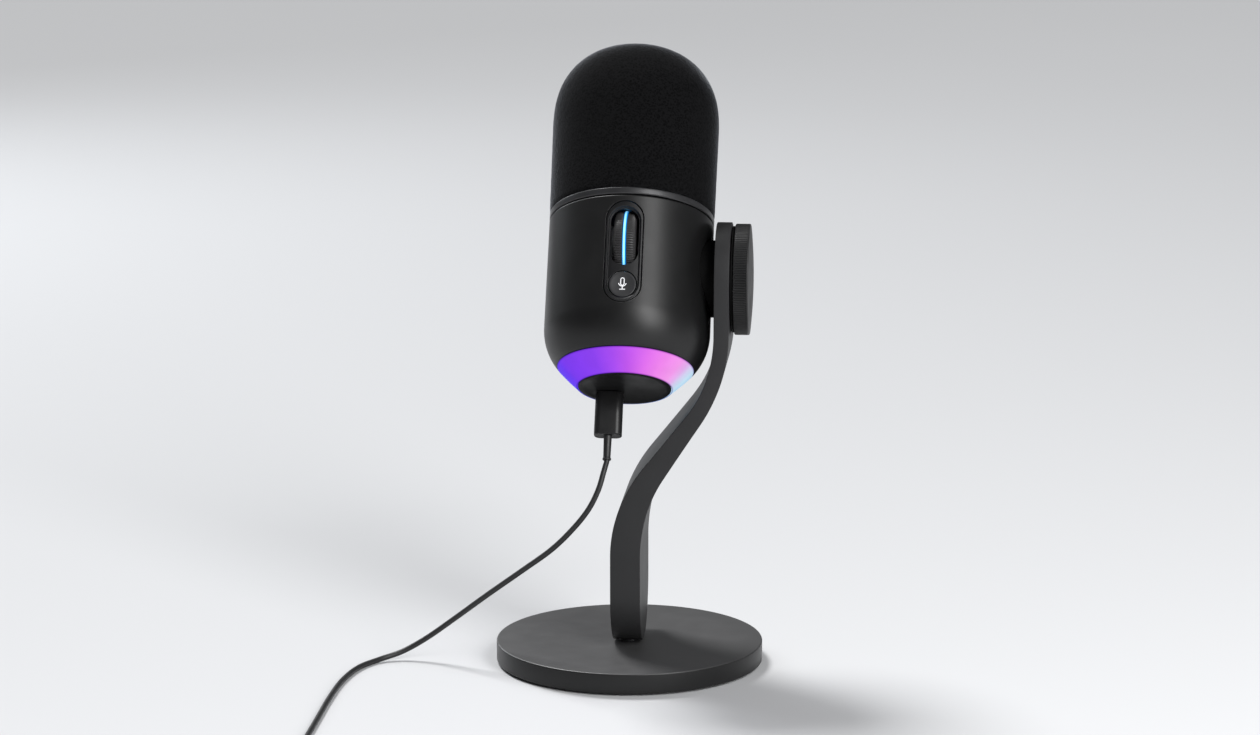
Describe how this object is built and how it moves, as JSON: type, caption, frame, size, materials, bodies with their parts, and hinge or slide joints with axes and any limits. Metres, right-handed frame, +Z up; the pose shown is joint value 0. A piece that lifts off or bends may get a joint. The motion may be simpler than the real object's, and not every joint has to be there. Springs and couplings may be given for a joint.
{
  "type": "desktop microphone",
  "caption": "Desktop microphone: a capsule body with a foam windscreen tilts on a curved side arm over a round weighted base, with a USB cable.",
  "frame": {"origin": "centre of the foot pad's flat underside, on the desk", "axes": "+Z up, the front with the gain wheel faces -Y, the side arm and clamp knob are on +X"},
  "size_m": [0.1674, 0.257, 0.248],
  "materials": {
    "stand_coat": "satin charcoal powder coat",
    "arm_coat": "satin charcoal powder coat",
    "knob_coat": "satin black, finely ribbed edge",
    "foot_rubber": "matte black rubber",
    "screw_steel": "plain zinc-plated steel",
    "washer_steel": "black oxide steel",
    "washer_rubber": "matte black rubber",
    "insert_brass": "turned brass",
    "body_coat": "soft matte black with a fine grain",
    "light_diffuser": "frosted diffuser, lit violet, pink and pale blue",
    "cap_plastic": "matte black moulded plastic",
    "inner_plastic": "plain black moulded plastic",
    "panel_plastic": "smooth black, slightly glossy",
    "wheel_plastic": "satin black with fine cross ribs",
    "blue_light": "lit blue light guide",
    "button_plastic": "satin black with a pale printed pictogram",
    "trim_coat": "satin black",
    "windscreen_foam": "open-cell black foam",
    "grille_steel": "dull steel",
    "chassis_steel": "plain sheet steel",
    "circuit_board": "green solder mask",
    "connector_steel": "bright drawn steel",
    "plug_plastic": "matte black overmould",
    "cable_sheath": "matte black sheath"
  },
  "bodies": {
    "stand": {"base_disc": "stand_coat", "foot_pad": "foot_rubber", "base_screw_front": "screw_steel", "base_screw_rear": "screw_steel", "stand_arm": "arm_coat", "arm_spacer": "screw_steel", "usb_cable": "cable_sheath", "usb_cable_coil": "cable_sheath", "usb_cable_tail": "cable_sheath", "host_plug_body": "plug_plastic", "host_plug_tongue": "connector_steel", "host_plug_relief": "cable_sheath"},
    "clamp_carrier": {"clamp_washer": "washer_steel"},
    "clamp_knob": {"clamp_knob": "knob_coat", "clamp_stud": "screw_steel"},
    "mic": {"body_shell": "body_coat", "pivot_insert": "insert_brass", "friction_washer": "washer_rubber", "light_ring": "light_diffuser", "bottom_cap": "cap_plastic", "usb_socket": "connector_steel", "led_board": "circuit_board", "chassis": "chassis_steel", "main_board": "circuit_board", "control_board": "circuit_board", "mute_switch": "inner_plastic", "bulkhead": "inner_plastic", "control_panel": "panel_plastic", "wheel_bracket": "chassis_steel", "gain_encoder": "inner_plastic", "trim_ring": "trim_coat", "windscreen_foam": "windscreen_foam", "grille_basket": "grille_steel", "shock_mount": "washer_rubber", "capsule_holder": "inner_plastic", "capsule": "insert_brass", "mic_plug_body": "plug_plastic", "mic_plug_tongue": "connector_steel", "mic_plug_relief": "cable_sheath"},
    "gain_wheel": {"gain_wheel_right": "wheel_plastic", "gain_wheel_left": "wheel_plastic", "gain_light_band": "blue_light", "gain_axle": "screw_steel"},
    "mute_button": {"mute_button": "button_plastic"}
  },
  "joints": [
    {"name": "mic_tilt", "type": "hinge", "parent": "stand", "child": "mic", "pos_m": [0, 0, 0.1575], "axis": [1, 0, 0], "range_deg": [-25, 65], "deforming": ["usb_cable"]},
    {"name": "clamp_travel", "type": "slide", "parent": "stand", "child": "clamp_carrier", "axis": [1, 0, 0], "range_m": [0, 0.00187]},
    {"name": "knob_turn", "type": "hinge", "parent": "clamp_carrier", "child": "clamp_knob", "pos_m": [0, 0, 0.1575], "axis": [1, 0, 0], "range_deg": [0, 540]},
    {"name": "gain_wheel_spin", "type": "hinge", "parent": "mic", "child": "gain_wheel", "pos_m": [0, -0.01384, 0.17161], "axis": [1, 0, 0], "continuous": true},
    {"name": "mute_press", "type": "slide", "parent": "mic", "child": "mute_button", "axis": [0, 0.8607, -0.509], "range_m": [0, 0.0007], "stiffness_N_per_m": 600, "springref_m": -0.0005}
  ],
  "couplings": [
    {"joint": "knob_turn", "follows": "clamp_travel", "rad_per_m": 5026.5}
  ]
}
